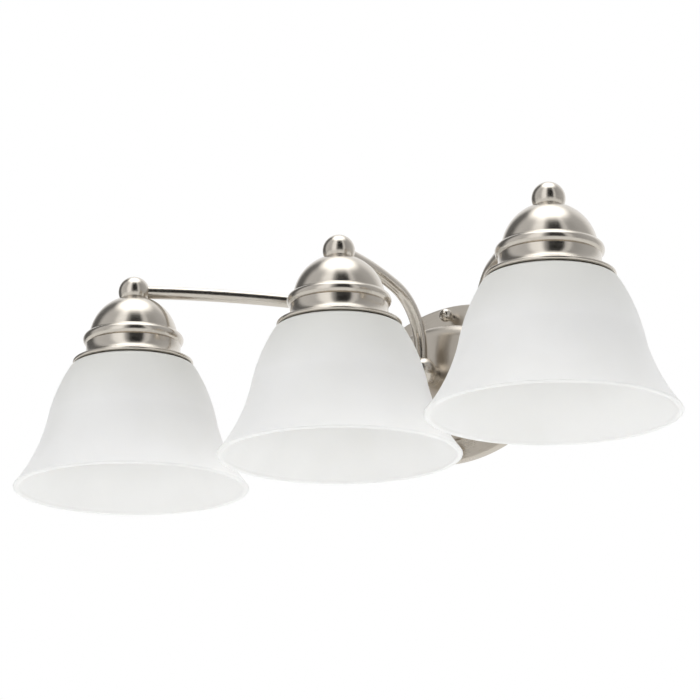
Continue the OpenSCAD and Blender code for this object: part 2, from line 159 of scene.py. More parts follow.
# ---------- finishes ----------
@dataclass(frozen=True)
class Finish:
    """What a piece is made of and how its surface was made."""

    name: str
    colour: str
    roughness: float

    def material(self) -> bpy.types.Material:
        """Returns the finish's material, made on first use."""
        found = bpy.data.materials.get(self.name)
        if found:
            return found
        made = bpy.data.materials.new(self.name)
        made.use_nodes = True
        shader = made.node_tree.nodes["Principled BSDF"]
        shader.inputs["Base Color"].default_value = srgb(self.colour)
        shader.inputs["Roughness"].default_value = self.roughness
        self.dress(made.node_tree, shader)
        return made

    def dress(self, tree: Tree, shader: Node) -> None:
        """Adds the finish's own nodes.

        Args:
            tree: The material's tree.
            shader: Its surface shader.
        """
        raise NotImplementedError

    def spots(self, tree: Tree, size: float, detail: float = 3.0) -> Socket:
        """Adds soft noise on the piece's own coordinates.

        Args:
            tree: The material's tree.
            size: Width of one patch in metres.
            detail: Octaves of finer noise.

        Returns:
            The noise's 0 to 1 output.
        """
        place = add_node(tree, "ShaderNodeTexCoord")
        noise = add_node(
            tree,
            "ShaderNodeTexNoise",
            links={"Vector": place.outputs["Object"]},
            values={"Scale": 1 / size, "Detail": detail},
        )
        return noise.outputs["Fac"]

    def vary(
        self, tree: Tree, shader: Node, source: Socket, low: str, high: str, rough: Point
    ) -> None:
        """Lets a pattern move the colour and the roughness.

        Args:
            tree: The material's tree.
            shader: Its surface shader.
            source: The pattern, from 0 to 1.
            low: Colour where the pattern is low.
            high: Colour where it is high.
            rough: Roughness at the low and the high end.
        """
        tone = add_ramp(tree, source, [(0.3, low), (0.7, high)])
        tree.links.new(tone.outputs["Color"], shader.inputs["Base Color"])
        spread = add_node(
            tree,
            "ShaderNodeMapRange",
            links={0: source},
            values={"From Min": 0.25, "From Max": 0.75, "To Min": rough[0], "To Max": rough[1]},
        )
        tree.links.new(spread.outputs[0], shader.inputs["Roughness"])

    def emboss(self, tree: Tree, shader: Node, source: Socket, depth: float) -> None:
        """Raises the surface by a pattern.

        Args:
            tree: The material's tree.
            shader: Its surface shader.
            source: The pattern, from 0 to 1.
            depth: Height of the pattern in metres.
        """
        bump = add_node(
            tree, "ShaderNodeBump", links={"Height": source}, values={"Strength": 1.0, "Distance": depth}
        )
        tree.links.new(bump.outputs["Normal"], shader.inputs["Normal"])


@dataclass(frozen=True)
class BrushedNickel(Finish):
    """Nickel plate on spun or drawn steel, brushed with an abrasive pad and lacquered.

    The brush lines run along the mesh's "lay" attribute. They blur reflections across the lines only, which
    stretches each soft light into a band that crosses them, and leave fine streaks along them.
    """

    dark: str
    streak: float = 30 * MM
    spacing: float = 0.55 * MM  # real scratches are nearer 0.1 mm; drawn this coarse so that they show
    depth: float = 0.0016 * MM
    spread: float = 0.7

    def dress(self, tree: Tree, shader: Node) -> None:
        """Adds brush lines, their streaks in the gloss and the warm lacquer's slight clouding."""
        shader.inputs["Metallic"].default_value = 1.0
        shader.inputs["Anisotropic"].default_value = self.spread
        shader.inputs["Anisotropic Rotation"].default_value = 0.25
        grain = add_node(tree, "ShaderNodeAttribute", attribute_name="grain")
        lay = add_node(tree, "ShaderNodeAttribute", attribute_name="lay")
        tree.links.new(lay.outputs["Vector"], shader.inputs["Tangent"])
        scaled = add_node(
            tree,
            "ShaderNodeVectorMath",
            operation="MULTIPLY",
            links={0: grain.outputs["Vector"]},
            values={1: (1 / self.streak, 1 / self.streak, 1 / self.spacing)},
        )
        lines = add_node(
            tree,
            "ShaderNodeTexNoise",
            links={"Vector": scaled.outputs[0]},
            values={"Scale": 1.0, "Detail": 2.5, "Roughness": 0.6},
        ).outputs["Fac"]
        clouds = self.spots(tree, 22 * MM, 2.0)
        both = add_node(
            tree, "ShaderNodeMix", data_type="FLOAT", links={"A": lines, "B": clouds}, values={"Factor": 0.5}
        ).outputs["Result"]
        self.vary(tree, shader, both, self.dark, self.colour, (self.roughness - 0.03, self.roughness + 0.04))
        self.emboss(tree, shader, lines, self.depth)


@dataclass(frozen=True)
class OpalGlass(Finish):
    """Blown white opal glass, etched to a satin on both faces: light sinks in a little and leaves it soft."""

    deep: str = "#F4F4F3"
    flange_shade: str = "#E0E0DD"  # the colour is flashed on more thinly where the bell was necked in
    # painted shade: the grey the glass turns to towards its top, standing in for the shade under the cup's
    # flange
    bloom: float = 5 * MM
    flange_shade_top: float = 8 * MM
    flange_shade_fade: float = 36 * MM

    def dress(self, tree: Tree, shader: Node) -> None:
        """Adds the milky depth, faint clouds from blowing, painted shade that greys the glass towards its top
        under the cup's flange, and the etched satin's fine tooth.
        """
        shader.inputs["Subsurface Weight"].default_value = 0.65
        shader.inputs["Subsurface Radius"].default_value = (1.0, 0.98, 0.95)
        shader.inputs["Subsurface Scale"].default_value = self.bloom
        shader.inputs["IOR"].default_value = 1.5
        clouds = self.spots(tree, 45 * MM, 1.5)
        self.vary(tree, shader, clouds, self.deep, self.colour, (self.roughness, self.roughness + 0.08))
        clouded = shader.inputs["Base Color"].links[0].from_socket
        # painted shade: the colour greys over the fade up to the top height, where the cup's flange shades the
        # glass
        place = add_node(tree, "ShaderNodeTexCoord")
        height = add_node(tree, "ShaderNodeSeparateXYZ", links={0: place.outputs["Object"]}).outputs["Z"]
        flange_shade_mask = add_node(
            tree,
            "ShaderNodeMapRange",
            links={0: height},
            values={"From Min": self.flange_shade_top - self.flange_shade_fade, "From Max": self.flange_shade_top},
        )
        flange_shaded = add_node(
            tree,
            "ShaderNodeMix",
            data_type="RGBA",
            links={"Factor": flange_shade_mask.outputs[0], 6: clouded},
            values={7: srgb(self.flange_shade)},
        )
        tree.links.new(flange_shaded.outputs[2], shader.inputs["Base Color"])
        self.emboss(tree, shader, self.spots(tree, 1.2 * MM, 2.0), 0.006 * MM)


@dataclass(frozen=True)
class ZincPlate(Finish):
    """Bright zinc on pressed steel: cool grey with a faint crystal mottle and a trace of yellow passivate."""

    tint: str = "#B9B7A6"
    crystal: float = 2.6 * MM

    def dress(self, tree: Tree, shader: Node) -> None:
        """Adds the crystal mottle and a rolled-sheet tooth."""
        shader.inputs["Metallic"].default_value = 1.0
        place = add_node(tree, "ShaderNodeTexCoord")
        cells = add_node(
            tree,
            "ShaderNodeTexVoronoi",
            links={"Vector": place.outputs["Object"]},
            values={"Scale": 1 / self.crystal},
        )
        grey = add_node(tree, "ShaderNodeSeparateColor", links={0: cells.outputs["Color"]}).outputs[0]
        blend = add_node(
            tree,
            "ShaderNodeMix",
            data_type="FLOAT",
            links={"A": grey, "B": self.spots(tree, 14 * MM)},
            values={"Factor": 0.55},
        ).outputs["Result"]
        self.vary(tree, shader, blend, self.tint, self.colour, (self.roughness - 0.04, self.roughness + 0.1))
        self.emboss(tree, shader, self.spots(tree, 0.7 * MM), 0.008 * MM)


@dataclass(frozen=True)
class DrawnBrass(Finish):
    """Brass as it leaves the lathe or the press: yellow, with faint turning marks and dull oxide patches."""

    dull: str = "#9A7B43"

    def dress(self, tree: Tree, shader: Node) -> None:
        """Adds oxide patches and turning marks across the height."""
        shader.inputs["Metallic"].default_value = 1.0
        rough = (self.roughness, self.roughness + 0.14)
        self.vary(tree, shader, self.spots(tree, 7 * MM), self.dull, self.colour, rough)
        place = add_node(tree, "ShaderNodeTexCoord")
        marks = add_node(
            tree,
            "ShaderNodeTexWave",
            bands_direction="Z",
            links={"Vector": place.outputs["Object"]},
            values={"Scale": 1 / (2.4 * MM) / 6.3, "Distortion": 1.2, "Detail": 2.0},
        )
        self.emboss(tree, shader, marks.outputs["Fac"], 0.006 * MM)


@dataclass(frozen=True)
class GlazedPorcelain(Finish):
    """Fired electrical porcelain: cream body under a thin clear glaze with pinholes and orange peel."""

    speck: str = "#D8D2C4"

    def dress(self, tree: Tree, shader: Node) -> None:
        """Adds the glaze coat, body specks and the glaze's slow waviness."""
        shader.inputs["Coat Weight"].default_value = 0.6
        shader.inputs["Coat Roughness"].default_value = 0.08
        rough = (self.roughness, self.roughness + 0.1)
        self.vary(tree, shader, self.spots(tree, 3 * MM, 5.0), self.speck, self.colour, rough)
        self.emboss(tree, shader, self.spots(tree, 2.2 * MM, 1.0), 0.02 * MM)


@dataclass(frozen=True)
class MouldedPlastic(Finish):
    """Moulded or extruded plastic: even colour, a soft sheen and the tooth of the tool's surface."""

    shade: str = "#808080"
    tooth: float = 0.6 * MM

    def dress(self, tree: Tree, shader: Node) -> None:
        """Adds slight flow shading and the tooth."""
        rough = (self.roughness, self.roughness + 0.12)
        self.vary(tree, shader, self.spots(tree, 9 * MM), self.shade, self.colour, rough)
        self.emboss(tree, shader, self.spots(tree, self.tooth), 0.012 * MM)


@dataclass(frozen=True)
class StudioPaper(Finish):
    """Matt white background paper: no gloss, with the barely uneven tone of a rolled sheet."""

    def dress(self, tree: Tree, shader: Node) -> None:
        """Adds the paper's slow unevenness."""
        self.vary(tree, shader, self.spots(tree, 1.5, 1.0), "#FAFAF9", self.colour, (0.9, 0.95))
        self.emboss(tree, shader, self.spots(tree, 4 * MM), 0.05 * MM)


FINISHES: dict[str, Finish] = {
    "nickel": BrushedNickel("brushed_nickel_spun", "#D2CCC3", 0.2, "#C8C1B7"),
    "nickel_plate": BrushedNickel("brushed_nickel_pressed", "#D2CBC1", 0.28, "#C6BEB3", streak=40 * MM),
    "zinc_steel": ZincPlate("zinc_plated_steel", "#CBCED2", 0.34),
    "brass_tube": DrawnBrass("threaded_brass", "#D9BC78", 0.3),
    "brass_contact": DrawnBrass("nickel_washed_brass", "#DCC68F", 0.26, "#B39A62"),
    "white_glass": OpalGlass("satin_opal_glass", "#FAFAF9", 0.5),
    "porcelain": GlazedPorcelain("glazed_porcelain", "#EFEBE1", 0.3),
    "white_resin": MouldedPlastic("white_resin", "#ECECE8", 0.42, "#DEDEDA"),
    "black_insulation": MouldedPlastic("black_insulation", "#232323", 0.45, "#1A1A1A"),
    "white_insulation": MouldedPlastic("white_insulation", "#E4E4DF", 0.45, "#D6D6D0"),
    "green_insulation": MouldedPlastic("green_insulation", "#2F7A3E", 0.45, "#286A36"),
    "green_screw": ZincPlate("green_dyed_zinc", "#3E8A4C", 0.36, "#2C6B3A"),
    "orange_plastic": MouldedPlastic("orange_nylon", "#DA7A2E", 0.38, "#CC6F26"),
}
SLOTS = {part["node"]: part["material_slot"] for part in frame["record"]["subparts"]}


# ---------- outlines ----------
def arc(centre: Point, radius: float, start: float, end: float, steps: int) -> Outline:
    """Points of an arc.

    Args:
        centre: Its centre.
        radius: Its radius.
        start: First angle in degrees.
        end: Last angle in degrees.
        steps: How many stretches it has.

    Returns:
        The points, both ends included.
    """
    turns = [math.radians(start + (end - start) * i / steps) for i in range(steps + 1)]
    return [(centre[0] + radius * math.cos(t), centre[1] + radius * math.sin(t)) for t in turns]


def soften(points: Outline, reach: float, least: float = 12.0) -> Outline:
    """Rounds the corners of an open outline.

    Args:
        points: The outline.
        reach: How far from a corner the rounding starts, in metres.
        least: Turns smaller than this many degrees are left alone.

    Returns:
        The outline with each corner replaced by a short curve.
    """
    result = [points[0]]
    for before, corner, after in zip(points, points[1:], points[2:]):
        p, q, r = Vector(before), Vector(corner), Vector(after)
        a, b = q - p, r - q
        if a.length < 1e-9 or b.length < 1e-9 or math.degrees(a.angle(b)) < least:
            result.append(corner)
            continue
        first = q - a.normalized() * min(reach, a.length * 0.45)
        last = q + b.normalized() * min(reach, b.length * 0.45)
        for i in range(5):
            t = i / 4
            spot = first * (1 - t) ** 2 + q * 2 * t * (1 - t) + last * t**2
            result.append((spot.x, spot.y))
    return result + [points[-1]]


# ---------- meshes ----------
def set_vectors(mesh: Mesh, name: str, vectors: Iterable[Sequence[float]]) -> None:
    """Stores one vector for each vertex.

    Args:
        mesh: The mesh.
        name: The attribute's name.
        vectors: The vectors, in vertex order.
    """
    flat = [number for vector in vectors for number in vector]
    mesh.attributes.new(name, "FLOAT_VECTOR", "POINT").data.foreach_set("vector", flat)


def shade_smooth(mesh: Mesh, crease: float = 32.0) -> None:
    """Shades a mesh smooth, but for edges that turn more than the crease angle in degrees."""
    mesh.polygons.foreach_set("use_smooth", [True] * len(mesh.polygons))
    mesh.set_sharp_from_angle(angle=math.radians(crease))


def build_mesh(
    name: str,
    points: Sequence[Sequence[float]],
    faces: Sequence[Sequence[int]],
    grain: Sequence[Sequence[float]],
    lay: Sequence[Sequence[float]],
    crease: float = 32.0,
) -> Mesh:
    """Makes a closed mesh whose faces point outwards.

    Args:
        name: The mesh's name.
        points: Its vertices.
        faces: Its faces.
        grain: Where each vertex lies on the brushing: twice along the lines, then across them, in metres.
        lay: The direction of the brush lines at each vertex.
        crease: Edges that turn more than this many degrees stay sharp.

    Returns:
        The mesh.
    """
    mesh = bpy.data.meshes.new(name)
    mesh.from_pydata([tuple(p) for p in points], [], [tuple(f) for f in faces])
    set_vectors(mesh, "grain", grain)
    set_vectors(mesh, "lay", lay)
    shell = bmesh.new()
    shell.from_mesh(mesh)
    bmesh.ops.recalc_face_normals(shell, faces=shell.faces)
    shell.to_mesh(mesh)
    shell.free()
    shade_smooth(mesh, crease)
    return mesh


def turned(
    name: str, outline: Outline, centre: Vector, sides: int = 128, axis: Axis = Axis.UP, crease: float = 32.0
) -> Mesh:
    """Turns an outline about an axis, as a lathe or a spinning chuck does.

    Args:
        name: The mesh's name.
        outline: Radius and height of each point. It is a closed loop, unless both of its ends are on the axis.
        centre: Where the axis has height 0.
        sides: How many steps the turn has.
        axis: Where the height points.
        crease: Edges that turn more than this many degrees stay sharp.

    Returns:
        The mesh, with brush lines round the axis.
    """
    poles = outline[0][0] < 1e-7 and outline[-1][0] < 1e-7
    rings = outline[1:-1] if poles else outline
    along = [0.0]
    for (r0, z0), (r1, z1) in zip(rings, rings[1:]):
        along.append(along[-1] + math.hypot(r1 - r0, z1 - z0))
    points, grain, lay, faces = [], [], [], []
    count = len(rings)
    for i in range(sides):
        turn = 2 * math.pi * i / sides
        c, s = math.cos(turn), math.sin(turn)
        for (r, z), run in zip(rings, along):
            points.append(centre + axis.value @ Vector((r * c, r * s, z)))
            grain.append((r * c, r * s, run))
            lay.append(axis.value @ Vector((-s, c, 0)))
        after = (i + 1) % sides
        for j in range(count - 1 if poles else count):
            k = (j + 1) % count
            faces.append((i * count + j, after * count + j, after * count + k, i * count + k))
    if poles:
        for end, (_, z) in ((0, outline[0]), (count - 1, outline[-1])):
            points.append(centre + axis.value @ Vector((0, 0, z)))
            grain.append((0, 0, along[end]))
            lay.append(axis.value @ Vector((0, 1, 0)))
            faces += [(len(points) - 1, i * count + end, (i + 1) % sides * count + end) for i in range(sides)]
    return build_mesh(name, points, faces, grain, lay, crease)


def merged_copy(node: str, extras: Sequence[Mesh] = ()) -> Mesh:
    """Copies a CAD node's mesh with its loose triangles joined and its round faces shaded smooth.

    Args:
        node: The CAD node.
        extras: Meshes that become part of the copy.

    Returns:
        The copy.
    """
    mesh = frame["nodes"][node].data.copy()
    mesh.name = f"{node}_joined"
    shell = bmesh.new()
    shell.from_mesh(mesh)
    bmesh.ops.remove_doubles(shell, verts=shell.verts, dist=0.002 * MM)
    for extra in extras:
        shell.from_mesh(extra)
    shell.to_mesh(mesh)
    shell.free()
    for layer in ("custom_normal", "grain", "lay"):
        if layer in mesh.attributes:
            mesh.attributes.remove(mesh.attributes[layer])
    set_vectors(mesh, "grain", [(v.co.x, v.co.y, v.co.z + v.co.y) for v in mesh.vertices])
    set_vectors(mesh, "lay", [(1.0, 0.0, 0.0)] * len(mesh.vertices))
    shade_smooth(mesh)
    return mesh


def place_piece(name: str, mesh: Mesh, body: str, *nodes: str) -> bpy.types.Object:
    """Puts a finished mesh in the scene as a piece.

    Args:
        name: The piece's name.
        mesh: Its mesh, with its place in it.
        body: The CAD body it rides on.
        *nodes: The CAD nodes it stands for, the first of which gives its material slot.

    Returns:
        The piece.
    """
    slot = SLOTS[nodes[0]]
    mesh.materials.clear()
    mesh.materials.append(FINISHES[slot].material())
    piece = bpy.data.objects.new(name, mesh)
    bpy.context.scene.collection.objects.link(piece)
    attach(piece, body)
    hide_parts(*nodes)
    LOG.info("%s: %d faces, %s, on %s", name, len(mesh.polygons), slot, body)
    return piece


# ---------- geometry node trees ----------
def new_tree(name: str, sockets: dict[str, str]) -> tuple[Tree, Node, Node]:
    """Starts a geometry node tree.

    Args:
        name: Its name.
        sockets: Its inputs after the geometry: name and socket type.

    Returns:
        The tree, its input node and its output node.
    """
    tree = bpy.data.node_groups.new(name, "GeometryNodeTree")
    tree.interface.new_socket("Geometry", in_out="INPUT", socket_type="NodeSocketGeometry")
    for label, kind in sockets.items():
        tree.interface.new_socket(label, in_out="INPUT", socket_type=kind)
    tree.interface.new_socket("Geometry", in_out="OUTPUT", socket_type="NodeSocketGeometry")
    return tree, tree.nodes.new("NodeGroupInput"), tree.nodes.new("NodeGroupOutput")


def end_tree(tree: Tree, shape: Socket, given: Node, result: Node) -> None:
    """Ends a tree in Realize Instances and Set Material.

    Args:
        tree: The tree.
        shape: The geometry it has made.
        given: Its input node, which has a Material output.
        result: Its output node.
    """
    real = add_node(tree, "GeometryNodeRealizeInstances", links={0: shape})
    painted = add_node(
        tree, "GeometryNodeSetMaterial", links={0: real.outputs[0], "Material": given.outputs["Material"]}
    )
    tree.links.new(painted.outputs[0], result.inputs[0])


def grow(tree: Tree, seed: Mesh, sizes: dict[str, Any]) -> Mesh:
    """Runs a tree on a mesh and returns the result as a plain mesh.

    Args:
        tree: The tree.
        seed: The mesh that goes in.
        sizes: Values of the tree's inputs by name.

    Returns:
        The mesh that comes out.
    """
    host = bpy.data.objects.new("host", seed)
    bpy.context.scene.collection.objects.link(host)
    modifier = host.modifiers.new("grow", "NODES")
    modifier.node_group = tree
    for item in tree.interface.items_tree:
        if item.item_type == "SOCKET" and item.in_out == "INPUT" and item.name in sizes:
            modifier[item.identifier] = sizes[item.name]
    graph = bpy.context.evaluated_depsgraph_get()
    grown = host.evaluated_get(graph)
    made = bpy.data.meshes.new_from_object(grown, preserve_all_data_layers=True, depsgraph=graph)
    bpy.data.objects.remove(host)
    return made


def tube_tree() -> Tree:
    """Makes the tree that draws a round tube along a line of edges, brushed along its length."""
    sizes = {"Radius": "NodeSocketFloat", "Sides": "NodeSocketInt"}
    tree, given, result = new_tree("tube_on_route", {**sizes, "Material": "NodeSocketMaterial"})
    route = add_node(tree, "GeometryNodeMeshToCurve", links={0: given.outputs[0]})
    length = add_node(tree, "GeometryNodeSplineParameter")
    heading = add_node(tree, "GeometryNodeInputTangent")
    marked = add_node(
        tree,
        "GeometryNodeStoreNamedAttribute",
        data_type="FLOAT",
        links={0: route.outputs[0], "Value": length.outputs["Length"]},
        values={"Name": "run"},
    )
    marked = add_node(
        tree,
        "GeometryNodeStoreNamedAttribute",
        data_type="FLOAT_VECTOR",
        links={0: marked.outputs[0], "Value": heading.outputs[0]},
        values={"Name": "lay"},
    )
    ring = add_node(
        tree,
        "GeometryNodeCurvePrimitiveCircle",
        links={"Radius": given.outputs["Radius"], "Resolution": given.outputs["Sides"]},
    )
    round_part = add_node(tree, "GeometryNodeSplineParameter")
    circle = add_node(
        tree,
        "GeometryNodeStoreNamedAttribute",
        data_type="FLOAT",
        links={0: ring.outputs[0], "Value": round_part.outputs["Length"]},
        values={"Name": "turn"},
    )
    tube = add_node(
        tree,
        "GeometryNodeCurveToMesh",
        links={0: marked.outputs[0], 1: circle.outputs[0]},
        values={"Fill Caps": True},
    )
    run = add_node(tree, "GeometryNodeInputNamedAttribute", data_type="FLOAT", values={"Name": "run"})
    turn = add_node(tree, "GeometryNodeInputNamedAttribute", data_type="FLOAT", values={"Name": "turn"})
    grain = add_node(tree, "ShaderNodeCombineXYZ", links={0: run.outputs[0], 2: turn.outputs[0]})
    brushed = add_node(
        tree,
        "GeometryNodeStoreNamedAttribute",
        data_type="FLOAT_VECTOR",
        links={0: tube.outputs[0], "Value": grain.outputs[0]},
        values={"Name": "grain"},
    )
    end_tree(tree, brushed.outputs[0], given, result)
    return tree


def thread_tree() -> Tree:
    """Makes the tree that winds the ridge of a screw thread round its shank."""
    sizes = {name: "NodeSocketFloat" for name in ("Radius", "Pitch", "Length", "Ridge")}
    tree, given, result = new_tree("thread_on_shank", {**sizes, "Material": "NodeSocketMaterial"})
    turns = add_node(
        tree,
        "ShaderNodeMath",
        operation="DIVIDE",
        links={0: given.outputs["Length"], 1: given.outputs["Pitch"]},
    )
    coil = add_node(
        tree,
        "GeometryNodeCurveSpiral",
        links={
            "Rotations": turns.outputs[0],
            "Start Radius": given.outputs["Radius"],
            "End Radius": given.outputs["Radius"],
            "Height": given.outputs["Length"],
        },
        values={"Resolution": 32},
    )
    ridge = add_node(
        tree,
        "GeometryNodeCurvePrimitiveCircle",
        links={"Radius": given.outputs["Ridge"]},
        values={"Resolution": 8},
    )
    wound = add_node(
        tree,
        "GeometryNodeCurveToMesh",
        links={0: coil.outputs[0], 1: ridge.outputs[0]},
        values={"Fill Caps": True},
    )
    end_tree(tree, wound.outputs[0], given, result)
    return tree


def rib_tree() -> Tree:
    """Makes the tree that stands round grip ribs in a ring."""
    sizes = {name: "NodeSocketFloat" for name in ("Radius", "Thickness", "Length")}
    sizes["Count"] = "NodeSocketInt"
    tree, given, result = new_tree("ribs_in_ring", {**sizes, "Material": "NodeSocketMaterial"})
    ring = add_node(
        tree,
        "GeometryNodeCurvePrimitiveCircle",
        links={"Radius": given.outputs["Radius"], "Resolution": given.outputs["Count"]},
    )
    rib = add_node(
        tree,
        "GeometryNodeMeshCylinder",
        links={"Radius": given.outputs["Thickness"], "Depth": given.outputs["Length"]},
        values={"Vertices": 12},
    )
    stood = add_node(
        tree, "GeometryNodeInstanceOnPoints", links={0: ring.outputs[0], "Instance": rib.outputs[0]}
    )
    end_tree(tree, stood.outputs[0], given, result)
    return tree


def line_mesh(points: Sequence[Vector]) -> Mesh:
    """Makes a mesh of edges along a route."""
    mesh = bpy.data.meshes.new("route")
    mesh.from_pydata([tuple(p) for p in points], [(i, i + 1) for i in range(len(points) - 1)], [])
    return mesh


# ---------- the light's sub-assemblies ----------
@dataclass
class Light:
    """The places of one light, read off its CAD nodes."""

    side: Side

    def axis(self, height: float = 0.0) -> Vector:
        """Returns the point of the light's upright axis at that height."""
        low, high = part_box(self.side.node("cup"))
        return Vector(((low.x + high.x) / 2, (low.y + high.y) / 2, height))

    def top_ball(self, radius: float) -> Vector:
        """Returns the centre of the ball on the cup."""
        return self.axis(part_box(self.side.node("top_ball"))[1].z - radius)

    def plate_ball(self, radius: float) -> Vector:
        """Returns the centre of the ball on the wall plate."""
        low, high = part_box(self.side.node("plate_ball"))
        return Vector(((low.x + high.x) / 2, low.y + radius, (low.z + high.z) / 2))


@dataclass
class BellShade:
    """White glass bell: flared mouth with a fire-polished lip, waist, rounded shoulder and flat top."""

    light: Light
    height: float = 90.5 * MM
    waist_radius: float = 59 * MM
    waist_height: float = 50 * MM
    waist_lean: float = 12.0
    flare_bend: float = 115 * MM
    upper_bend: float = 119 * MM
    shoulder_lean: float = 31.0
    shoulder_bend: float = 8 * MM
    wall: float = 3.4 * MM
    hole: float = 21 * MM
    lip: float = 1.95 * MM
    lip_bulge: float = 1.4 * MM
    hole_edge: Point = (0.3 * MM, 0.4 * MM)  # ground chamfer round the hole

    def skin(self, inset: float) -> Outline:
        """Returns one face's outline from the lip up to the flat top.

        Args:
            inset: How far inside the outer face it lies.
        """
        lean = math.radians(self.waist_lean)
        wr, wh = self.waist_radius, self.waist_height
        flare = (wr + self.flare_bend * math.cos(lean), wh + self.flare_bend * math.sin(lean))
        upper = (wr - self.upper_bend * math.cos(lean), wh - self.upper_bend * math.sin(lean))
        rest = self.upper_bend - self.shoulder_bend
        turn = math.radians(self.shoulder_lean)
        shoulder = (upper[0] + rest * math.cos(turn), upper[1] + rest * math.sin(turn))
        low = math.degrees(math.asin((flare[1] - self.lip) / (self.flare_bend + inset)))
        rise = min(1.0, (self.height - inset - shoulder[1]) / (self.shoulder_bend - inset))
        top = math.degrees(math.asin(rise))
        points = arc(flare, self.flare_bend + inset, 180 + low, 180 + self.waist_lean, 40)
        points += arc(upper, self.upper_bend - inset, self.waist_lean, self.shoulder_lean, 26)[1:]
        points += arc(shoulder, self.shoulder_bend - inset, self.shoulder_lean, top, 14)[1:]
        return points

    def build(self) -> None:
        """Builds the glass."""
        outer, inner = self.skin(0.0), self.skin(self.wall)
        middle, half = (outer[0][0] + inner[0][0]) / 2, (outer[0][0] - inner[0][0]) / 2
        lip = [(middle + half * x, self.lip + self.lip_bulge * z) for x, z in arc((0, 0), 1, 180, 360, 14)[1:-1]]
        wide, deep = self.hole_edge
        under = self.height - self.wall
        top = [(self.hole + wide, self.height), (self.hole, self.height - deep)]
        top += [(self.hole, under + deep), (self.hole + wide, under)]
        loop = outer + top + inner[::-1] + lip
        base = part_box(self.light.side.node("shade"))[1].z - self.height
        mesh = turned(f"bell_{self.light.side.value}", loop, self.light.axis(base), 192)
        place_piece(self.light.side.node("bell_glass"), mesh, FIXTURE, self.light.side.node("shade"))


@dataclass
class SpunCup:
    """Spun metal cup over the glass: dome, half-round bead, hollow neck, and a flange rolled at its edge."""

    light: Light
    dome_radius: float = 31.2 * MM
    flat_radius: float = 10.3 * MM
    sheet: float = 1.2 * MM
    bead_radius: float = 35.3 * MM
    bead_roll: float = 4.4 * MM
    neck_radius: float = 33.2 * MM
    flange_sweep: float = 10.8 * MM
    edge_roll: float = 1.4 * MM
    bore: float = 5.1 * MM

    def build(self) -> None:
        """Builds the cup."""
        crown = math.sqrt(self.dome_radius**2 - self.flat_radius**2)
        bead = (self.bead_radius - self.bead_roll, 4 * MM - self.bead_roll)
        sweep = (self.neck_radius + self.flange_sweep, -7.2 * MM)
        end = math.radians(248)
        roll = (
            sweep[0] + self.flange_sweep * math.cos(end) + 0.9 * MM,
            sweep[1] + self.flange_sweep * math.sin(end) + 0.25 * MM,
        )
        inside = self.dome_radius - self.sheet
        outer = [(self.bore, crown)]
        outer += arc((0, 0), self.dome_radius, math.degrees(math.asin(crown / self.dome_radius)), 8.4, 56)
        outer += arc(bead, self.bead_roll, 84, -56, 36)
        outer += arc(sweep, self.flange_sweep, 176, 248, 34)
        inner = [(self.bore, crown - self.sheet)]
        inner += arc((0, 0), inside, math.degrees(math.asin((crown - self.sheet) / inside)), 5.4, 36)
        inner += arc(bead, self.bead_roll - self.sheet, 46, -48, 16)
        inner += arc(sweep, self.flange_sweep + self.sheet, 176, 248, 24)
        outer, inner = ([p for p in wall if math.dist(p, roll) > self.edge_roll] for wall in (outer, inner))
        loop = outer + arc(roll, self.edge_roll, 100, -190, 26) + inner[::-1]
        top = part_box(self.light.side.node("cup"))[1].z
        mesh = turned(f"cup_{self.light.side.value}", loop, self.light.axis(top - crown), 160)
        place_piece(self.light.side.node("spun_cup"), mesh, FIXTURE, self.light.side.node("cup"))


@dataclass
class Ball:
    """Turned metal ball with one flat face, on which it sits."""

    radius: float = 11 * MM

    def outline(self, flat: float) -> Outline:
        """Returns the outline from the flat's middle to the far pole.

        Args:
            flat: Distance of the flat from the centre.
        """
        start = -math.degrees(math.asin(flat / self.radius))
        rim = arc((0, 0), self.radius, start, 90, 56)
        return [(0.0, -flat), (rim[0][0] - 0.25 * MM, -flat)] + rim[:-1] + [(0.0, self.radius)]

    def build(self, name: str, centre: Vector, flat: float, axis: Axis, node: str) -> None:
        """Builds one ball.

        Args:
            name: The piece's name.
            centre: The ball's centre.
            flat: Distance of the flat from the centre.
            axis: Points away from the flat.
            node: The CAD node it stands for.
        """
        place_piece(name, turned(name, self.outline(flat), centre, 96, axis), FIXTURE, node)


@dataclass
class Arm:
    """Bent tube from the ball on the cup, over and down to the ball on the wall plate."""

    light: Light
    tree: Tree
    radius: float = 4.5 * MM
    tight_bend: float = 41 * MM
    ball: float = 11 * MM

    def lean(self) -> float:
        """Returns the angle of the long bend in radians."""
        return math.radians(16 if self.light.side is Side.MIDDLE else 6)

    def route(self) -> list[Vector]:
        """Returns the points of the tube's middle line."""
        start, end = self.light.top_ball(self.ball), self.light.plate_ball(self.ball)
        run = Vector((end.x - start.x, end.y - start.y, 0))
        length, lean, tight = run.length, self.lean(), self.tight_bend
        big = (length - tight * (1 - math.sin(lean))) / math.sin(lean)
        knee = ((big - tight) * math.sin(lean), -big + (big - tight) * math.cos(lean))
        path = arc((0, -big), big, 90 - math.degrees(math.asin(6 * MM / big)), 90 - math.degrees(lean), 44)
        path += arc(knee, tight, 90 - math.degrees(lean), 0, 52)[1:]
        low = end.z - start.z + 6 * MM
        path += [(length, knee[1] + (low - knee[1]) * i / 12) for i in range(1, 13)]
        ahead = run.normalized()
        return [start + ahead * along + Vector((0, 0, rise)) for along, rise in path]

    def build(self) -> None:
        """Builds the tube."""
        material = FINISHES[SLOTS[self.light.side.node("arm")]].material()
        sizes = {"Radius": self.radius, "Sides": 48, "Material": material}
        mesh = grow(self.tree, line_mesh(self.route()), sizes)
        shade_smooth(mesh, 50)
        place_piece(self.light.side.node("bent_tube"), mesh, FIXTURE, self.light.side.node("arm"))


